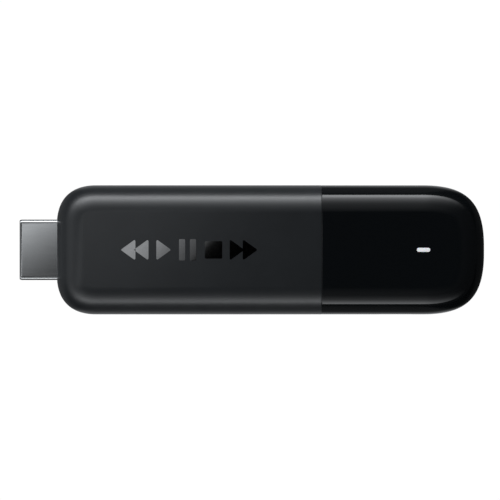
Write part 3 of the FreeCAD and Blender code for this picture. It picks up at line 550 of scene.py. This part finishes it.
def plug_section(grow, bend):
    """The HDMI plug's outer section in Y and Z, flat side up, grown all round."""
    wide = (PLUG_HIGH.y - PLUG_LOW.y) / 2 + grow
    top, under = PLUG_HIGH.z + grow, PLUG_LOW.z - grow
    slope = grow * math.tan(math.pi / 8)
    shoulder = PLUG_HIGH.z - PLUG_SIDE - slope
    foot = PLUG_FOOT / 2 + slope
    corners = [(wide, top), (-wide, top), (-wide, shoulder), (-foot, under), (foot, under), (wide, shoulder)]
    return rounded_loop(corners, [bend] * 6)


def plug_cutter():
    start = Vector((NOSE_X - 2 * MM, 0, 0))
    depth = Vector((5.8 * MM, 0, 0))
    return prism("plug_cutter", plug_section(PLUG_FIT, PLUG_BEND), lambda p: start + Vector((0, p.x, p.y)), depth)


def spigot(name, keep_low, keep_high):
    """One half of the ring that the covers reach into the cap with, behind the seam."""
    corners = [(HALF_WIDTH, 0), (HALF_WIDTH, TOP_Z), (-HALF_WIDTH, TOP_Z), (-HALF_WIDTH, 0)]
    section = rounded_loop(corners, [EDGE_ROUND] * 4, 16)
    root, step, tip = SEAM_X - 3.9 * MM, SEAM_X - 0.3 * MM, SEAM_X + 4 * MM
    rooted, entering = WALL - 0.2 * MM, WALL + 0.1 * MM
    stations = [(root, rooted, 0.0), (step, rooted, 0.0), (step, entering, 0.0), (tip, entering, 0.0)]
    ring = tube(name, section, stations, WALL + 1.3 * MM)
    wide = 2 * HALF_WIDTH
    half = [(-wide, keep_low), (wide, keep_low), (wide, keep_high), (-wide, keep_high)]
    start = Vector((root - 1 * MM, 0, 0))
    depth = Vector((tip - root + 2 * MM, 0, 0))
    keep = prism(name + "_keep", [(Vector(p), None) for p in half], lambda p: start + Vector((0, p.x, p.y)), depth)
    combine(ring, keep, "INTERSECT")
    return ring


def covers():
    stations = outline(NOSE_X, NOSE_CORNER, -1, SEAM_X - SEAM_HAIRLINE)
    parting = MID_Z + PARTING_GAP / 2
    rows = [((0.0, parting + rise, 1.0, 0.0), depth) for rise, depth in EASE_STEPS]
    rows += [(row, 0.0) for row in side_rows(parting + EASE, TOP_Z - EDGE_ROUND, 3)]
    rows += [(row, 0.0) for row in upper_round()]
    turned = [((inset, TOP_Z - z, out, -up), depth) for (inset, z, out, up), depth in rows]
    halves = (
        ("upper_cover", rows, parting, 2 * TOP_Z),
        ("lower_cover", turned, -TOP_Z, TOP_Z - parting),
    )
    for node, section, low, high in halves:
        piece = case_shell(node + "_skin", stations, section, -1, flat_below=False)
        combine(piece, spigot(node + "_spigot", low, high), "UNION")
        carve(piece, plug_cutter())
        shade_case(piece, COVER_SOFTNESS)
        stand_for(piece, node, "matte_shell")


def box_loop(x, y, width, depth, radius):
    """An upright rounded rectangle's loop round a centre."""
    a, b = width / 2, depth / 2
    corners = [(x + a, y + b), (x - a, y + b), (x - a, y - b), (x + a, y - b)]
    return rounded_loop(corners, [radius] * 4)


def cap():
    stations = outline(TAIL_X, TAIL_CORNER, 1, SEAM_X)
    rows = lower_round() + side_rows(EDGE_ROUND, TOP_Z - EDGE_ROUND, 4) + upper_round()
    piece = case_shell("tail_cap_skin", stations, [(row, 0.0) for row in rows], 1, flat_below=True)
    slot = box_loop(LIGHT_X, 0, LIGHT_SIZE[0] + 0.1 * MM, LIGHT_SIZE[1] + 0.1 * MM, 0.46 * MM)
    carve(piece, prism("slot_cutter", slot, lambda p: Vector((p.x, p.y, TOP_Z - 2 * MM)), Vector((0, 0, 4 * MM))))
    width, height, radius = PORT_HOLE
    hole = box_loop(PORT_X, PORT_Z, width, height, radius)
    side = -HALF_WIDTH - 1 * MM
    carve(piece, prism("port_cutter", hole, lambda p: Vector((p.x, side, p.y)), Vector((0, 3.2 * MM, 0))))
    shade_case(piece)
    stand_for(piece, "tail_cap", "gloss_cap")


def status_light():
    """The diffuser bar, its edge eased, on its flange and stem."""
    bm = bmesh.new()
    loop = box_loop(LIGHT_X, 0, *LIGHT_SIZE, 0.41 * MM)
    ease = 0.06 * MM
    flange_top = TOP_Z - WALL
    rings = []
    for z, inset in ((flange_top, 0.0), (TOP_Z - ease, 0.0), (TOP_Z - 0.3 * ease, 0.3 * ease), (TOP_Z, ease)):
        rings.append([bm.verts.new((*(point - normal * inset), z)) for point, normal in loop])
    for ring, following in zip(rings, rings[1:]):
        for a in range(len(loop)):
            b = (a + 1) % len(loop)
            bm.faces.new([ring[a], ring[b], following[b], following[a]])
    bm.faces.new(rings[-1])
    bm.faces.new(rings[0][::-1])
    flange = box_loop(LIGHT_X, 0, 4.6 * MM, 2.4 * MM, 0.3 * MM)
    stem = box_loop(LIGHT_X, 0, 2.4 * MM, 0.9 * MM, 0.2 * MM)
    levels = [(flange, flange_top - 0.6 * MM, flange_top), (stem, LIGHT_LOW.z, flange_top - 0.6 * MM)]
    for outline_loop, low, high in levels:
        near = [bm.verts.new((*point, low)) for point, _ in outline_loop]
        far = [bm.verts.new((*point, high)) for point, _ in outline_loop]
        bm.faces.new(near[::-1])
        bm.faces.new(far)
        for a in range(len(near)):
            b = (a + 1) % len(near)
            bm.faces.new([near[a], near[b], far[b], far[a]])
    piece = new_piece("status_light_bar", bm)
    smooth_by_angle(piece)
    stand_for(piece, "status_light_guide", "light_diffuser")


def plug():
    """The plug's shell, its rim rounded over at the tip."""
    lead, drop = 0.60 * MM, 0.28 * MM
    stations = []
    for angle in np.linspace(0, math.pi / 2, 9):
        out, up = math.cos(angle), math.sin(angle)
        tilt = math.atan2(out / lead, up / drop)
        stations.append((PLUG_LOW.x + lead * (1 - out), drop * (1 - up), tilt))
    stations.append((PLUG_HIGH.x, 0.0, 0.0))
    piece = tube("hdmi_plug_tube", plug_section(0.0, PLUG_BEND), stations, PLUG_SHEET)
    stand_for(piece, "hdmi_plug_shell", "plug_nickel")


# ---- floor, light and camera -------------------------------------------------------------------------

CAMERA_HEIGHT = 2.0
FIELD = 115.07 * MM
VIEW_X = -0.43 * MM
VIEW_Y = -0.04 * MM

PAPER_WHITE = 1.02
DAYLIGHT = (0.975, 1.0, 1.028)

# How bright each side's light looks against the height of a direction above the floor, its sine
BACK_GLOW = [
    (0.0, 0.0), (0.14, 0.0), (0.175, 5.4), (0.28, 5.4), (0.37, 3.7), (0.445, 2.33), (0.52, 1.72),
    (0.65, 0.88), (0.76, 0.46), (0.85, 0.30), (0.94, 0.20), (0.985, 0.11), (0.998, 0.0), (1.0, 0.0),
]
FRONT_GLOW = [
    (0.0, 0.0), (0.20, 0.0), (0.232, 2.5), (0.342, 1.9), (0.423, 1.33), (0.50, 0.80), (0.568, 0.50),
    (0.69, 0.27), (0.79, 0.10), (0.985, 0.05), (0.998, 0.0), (1.0, 0.0),
]
# How much of a side light's glow is left as a direction turns from the side to the nose, -1, or the tail, 1
SIDE_SPAN = [
    (-1.0, 0.0), (-0.90, 0.10), (-0.62, 0.45), (-0.30, 0.85), (-0.10, 1.0), (0.03, 1.0),
    (0.09, 0.75), (0.20, 0.50), (0.40, 0.20), (0.60, 0.05), (0.80, 0.0), (1.0, 0.0),
]
NOSE_GLOW = [(0.0, 0.12), (0.15, 0.26), (0.5, 0.26), (0.8, 0.10), (0.95, 0.0), (1.0, 0.0)]
STUDIO_DIM = [(0.0, 0.03), (0.90, 0.03), (0.985, 0.0), (1.0, 0.0)]

# How bright each overhead card looks, by x - lean y in millimetres
MARK_LEAN = 0.9
MARK_GLOW = [
    (-38, 0.0), (-34, 0.16), (-30, 0.33), (-24, 0.25), (-19, 0.13), (-16, 0.09), (-12, 0.05), (-11.4, 0.0),
]
PLUG_LEAN = 1.6
PLUG_GLOW = [
    (-76, 0.0), (-70, 0.85), (-66, 0.95), (-62, 0.72), (-57, 0.46), (-53, 0.33), (-50, 0.25), (-43.7, 0.13),
    (-38, 0.08), (-30, 0.0),
]
CARD_HEIGHT = 90 * MM
CARD_REACH = 25 * MM


def math_node(tree, operation, a, b=0.0):
    made = tree.nodes.new("ShaderNodeMath")
    made.operation = operation
    for socket, value in zip(made.inputs, (a, b)):
        if isinstance(value, bpy.types.NodeSocket):
            tree.links.new(value, socket)
        else:
            socket.default_value = value
    return made.outputs[0]


def fade(tree, value, start, end, low, high):
    """A smooth step from low at start to high at end."""
    made = tree.nodes.new("ShaderNodeMapRange")
    made.interpolation_type = "SMOOTHSTEP"
    tree.links.new(value, made.inputs["Value"])
    for socket, number in (("From Min", start), ("From Max", end), ("To Min", low), ("To Max", high)):
        made.inputs[socket].default_value = number
    return made.outputs["Result"]


def graph(tree, value, points):
    """Straight lines through (value, brightness) points; the first and last values are the range's ends."""
    first, last = points[0][0], points[-1][0]
    peak = max(height for _, height in points)
    share = math_node(tree, "DIVIDE", math_node(tree, "SUBTRACT", value, first), last - first)
    ramp = tree.nodes.new("ShaderNodeFloatCurve")
    tree.links.new(share, ramp.inputs["Value"])
    curve = ramp.mapping.curves[0]
    for _ in points[2:]:
        curve.points.new(0.5, 0.5)
    for point, (place, height) in zip(curve.points, points):
        point.location = ((place - first) / (last - first), height / peak)
        point.handle_type = "VECTOR"
    ramp.mapping.update()
    return math_node(tree, "MULTIPLY", ramp.outputs[0], peak)


def emitter(tree, colour, strength):
    made = tree.nodes.new("ShaderNodeEmission")
    made.inputs["Color"].default_value = (*colour, 1)
    made.inputs["Strength"].default_value = strength
    return made


def place_of(tree):
    """The three coordinates of the point being lit, on the object itself."""
    split = tree.nodes.new("ShaderNodeSeparateXYZ")
    tree.links.new(tree.nodes.new("ShaderNodeTexCoord").outputs["Object"], split.inputs[0])
    return split.outputs


def show_white_to_camera(tree, lit, white, output_kind):
    path = tree.nodes.new("ShaderNodeLightPath")
    mix = tree.nodes.new("ShaderNodeMixShader")
    tree.links.new(path.outputs["Is Camera Ray"], mix.inputs[0])
    tree.links.new(lit, mix.inputs[1])
    tree.links.new(white, mix.inputs[2])
    output = tree.nodes.new(output_kind)
    tree.links.new(mix.outputs[0], output.inputs["Surface"])


def empty_material(name):
    material = bpy.data.materials.new(name)
    material.use_nodes = True
    material.node_tree.nodes.clear()
    return material, material.node_tree


def floor():
    """A plain pale floor, clear from below. It looks white, and lights a thing on it only by its long sides."""
    bm = bmesh.new()
    bmesh.ops.create_grid(bm, x_segments=8, y_segments=8, size=4.0)
    piece = new_piece("floor", bm)
    piece.location.z = -0.1 * MM
    material, tree = empty_material("pale_floor")
    x, y, _ = place_of(tree)
    beside = math_node(tree, "SUBTRACT", math_node(tree, "ABSOLUTE", y), HALF_WIDTH)
    near = fade(tree, beside, 2 * MM, 16 * MM, 0.52, 0.08)
    tail = fade(tree, x, TAIL_X - 9 * MM, TAIL_X, 1.0, 0.06)
    nose = fade(tree, x, NOSE_X + 5 * MM, NOSE_X, 1.0, 0.25)
    lit = emitter(tree, DAYLIGHT, 1.0)
    shade = math_node(tree, "MULTIPLY", math_node(tree, "MULTIPLY", near, tail), nose)
    tree.links.new(shade, lit.inputs["Strength"])
    seen = emitter(tree, (1, 1, 1), PAPER_WHITE)
    one_sided = tree.nodes.new("ShaderNodeMixShader")
    tree.links.new(tree.nodes.new("ShaderNodeNewGeometry").outputs["Backfacing"], one_sided.inputs[0])
    tree.links.new(seen.outputs[0], one_sided.inputs[1])
    tree.links.new(tree.nodes.new("ShaderNodeBsdfTransparent").outputs[0], one_sided.inputs[2])
    show_white_to_camera(tree, lit.outputs[0], one_sided.outputs[0], "ShaderNodeOutputMaterial")
    piece.data.materials.append(material)


def studio():
    """A dim studio with a long soft light low down each side, the +Y one the stronger, and a faint one at -X."""
    world = bpy.data.worlds.new("studio")
    bpy.context.scene.world = world
    world.use_nodes = True
    tree = world.node_tree
    tree.nodes.clear()
    way = tree.nodes.new("ShaderNodeSeparateXYZ")
    tree.links.new(tree.nodes.new("ShaderNodeTexCoord").outputs["Generated"], way.inputs[0])
    x, y, z = way.outputs
    squares = math_node(tree, "ADD", math_node(tree, "MULTIPLY", x, x), math_node(tree, "MULTIPLY", y, y))
    level = math_node(tree, "MAXIMUM", math_node(tree, "SQRT", squares), 0.001)
    across, along = math_node(tree, "DIVIDE", y, level), math_node(tree, "DIVIDE", x, level)
    span = graph(tree, along, SIDE_SPAN)
    lights = (
        (BACK_GLOW, math_node(tree, "MULTIPLY", span, fade(tree, across, 0.0, 0.2, 0.0, 1.0))),
        (FRONT_GLOW, math_node(tree, "MULTIPLY", span, fade(tree, across, 0.0, -0.2, 0.0, 1.0))),
        (NOSE_GLOW, fade(tree, along, -0.10, -0.55, 0.0, 1.0)),
    )
    total = graph(tree, z, STUDIO_DIM)
    for glow, share in lights:
        total = math_node(tree, "ADD", total, math_node(tree, "MULTIPLY", graph(tree, z, glow), share))
    light = tree.nodes.new("ShaderNodeBackground")
    light.inputs["Color"].default_value = (*DAYLIGHT, 1)
    tree.links.new(total, light.inputs["Strength"])
    seen = tree.nodes.new("ShaderNodeBackground")
    seen.inputs["Color"].default_value = (1, 1, 1, 1)
    seen.inputs["Strength"].default_value = PAPER_WHITE
    show_white_to_camera(tree, light.outputs[0], seen.outputs[0], "ShaderNodeOutputWorld")


def overhead_card(name, lean, glow):
    """A card of soft light close above the stick, which adds to what is behind it and casts no shadow."""
    bm = bmesh.new()
    low, high = glow[0][0] * MM, glow[-1][0] * MM
    slant = lean * CARD_REACH
    corners = [(low - slant, -1), (high - slant, -1), (high + slant, 1), (low + slant, 1)]
    bm.faces.new([bm.verts.new((x, side * CARD_REACH, CARD_HEIGHT)) for x, side in corners])
    piece = new_piece(name, bm)
    material, tree = empty_material(name + "_glow")
    x, y, _ = place_of(tree)
    along = math_node(tree, "SUBTRACT", x, math_node(tree, "MULTIPLY", y, lean))
    light = emitter(tree, DAYLIGHT, 1.0)
    tree.links.new(graph(tree, math_node(tree, "DIVIDE", along, MM), glow), light.inputs["Strength"])
    both = tree.nodes.new("ShaderNodeAddShader")
    tree.links.new(light.outputs[0], both.inputs[0])
    tree.links.new(tree.nodes.new("ShaderNodeBsdfTransparent").outputs[0], both.inputs[1])
    output = tree.nodes.new("ShaderNodeOutputMaterial")
    tree.links.new(both.outputs[0], output.inputs["Surface"])
    piece.data.materials.append(material)
    piece.visible_camera = False
    piece.visible_shadow = False


def camera():
    data = bpy.data.cameras.new("camera")
    data.sensor_width = 36.0
    data.lens = data.sensor_width * (CAMERA_HEIGHT - MID_Z) / FIELD
    data.clip_end = 20.0
    view = bpy.data.objects.new("camera", data)
    view.location = (VIEW_X, VIEW_Y, CAMERA_HEIGHT)
    bpy.context.scene.collection.objects.link(view)
    bpy.context.scene.camera = view
    bpy.context.scene.view_settings.view_transform = "Standard"


dress_nodes()
covers()
cap()
status_light()
plug()
floor()
studio()
overhead_card("mark_card", MARK_LEAN, MARK_GLOW)
overhead_card("plug_card", PLUG_LEAN, PLUG_GLOW)
camera()
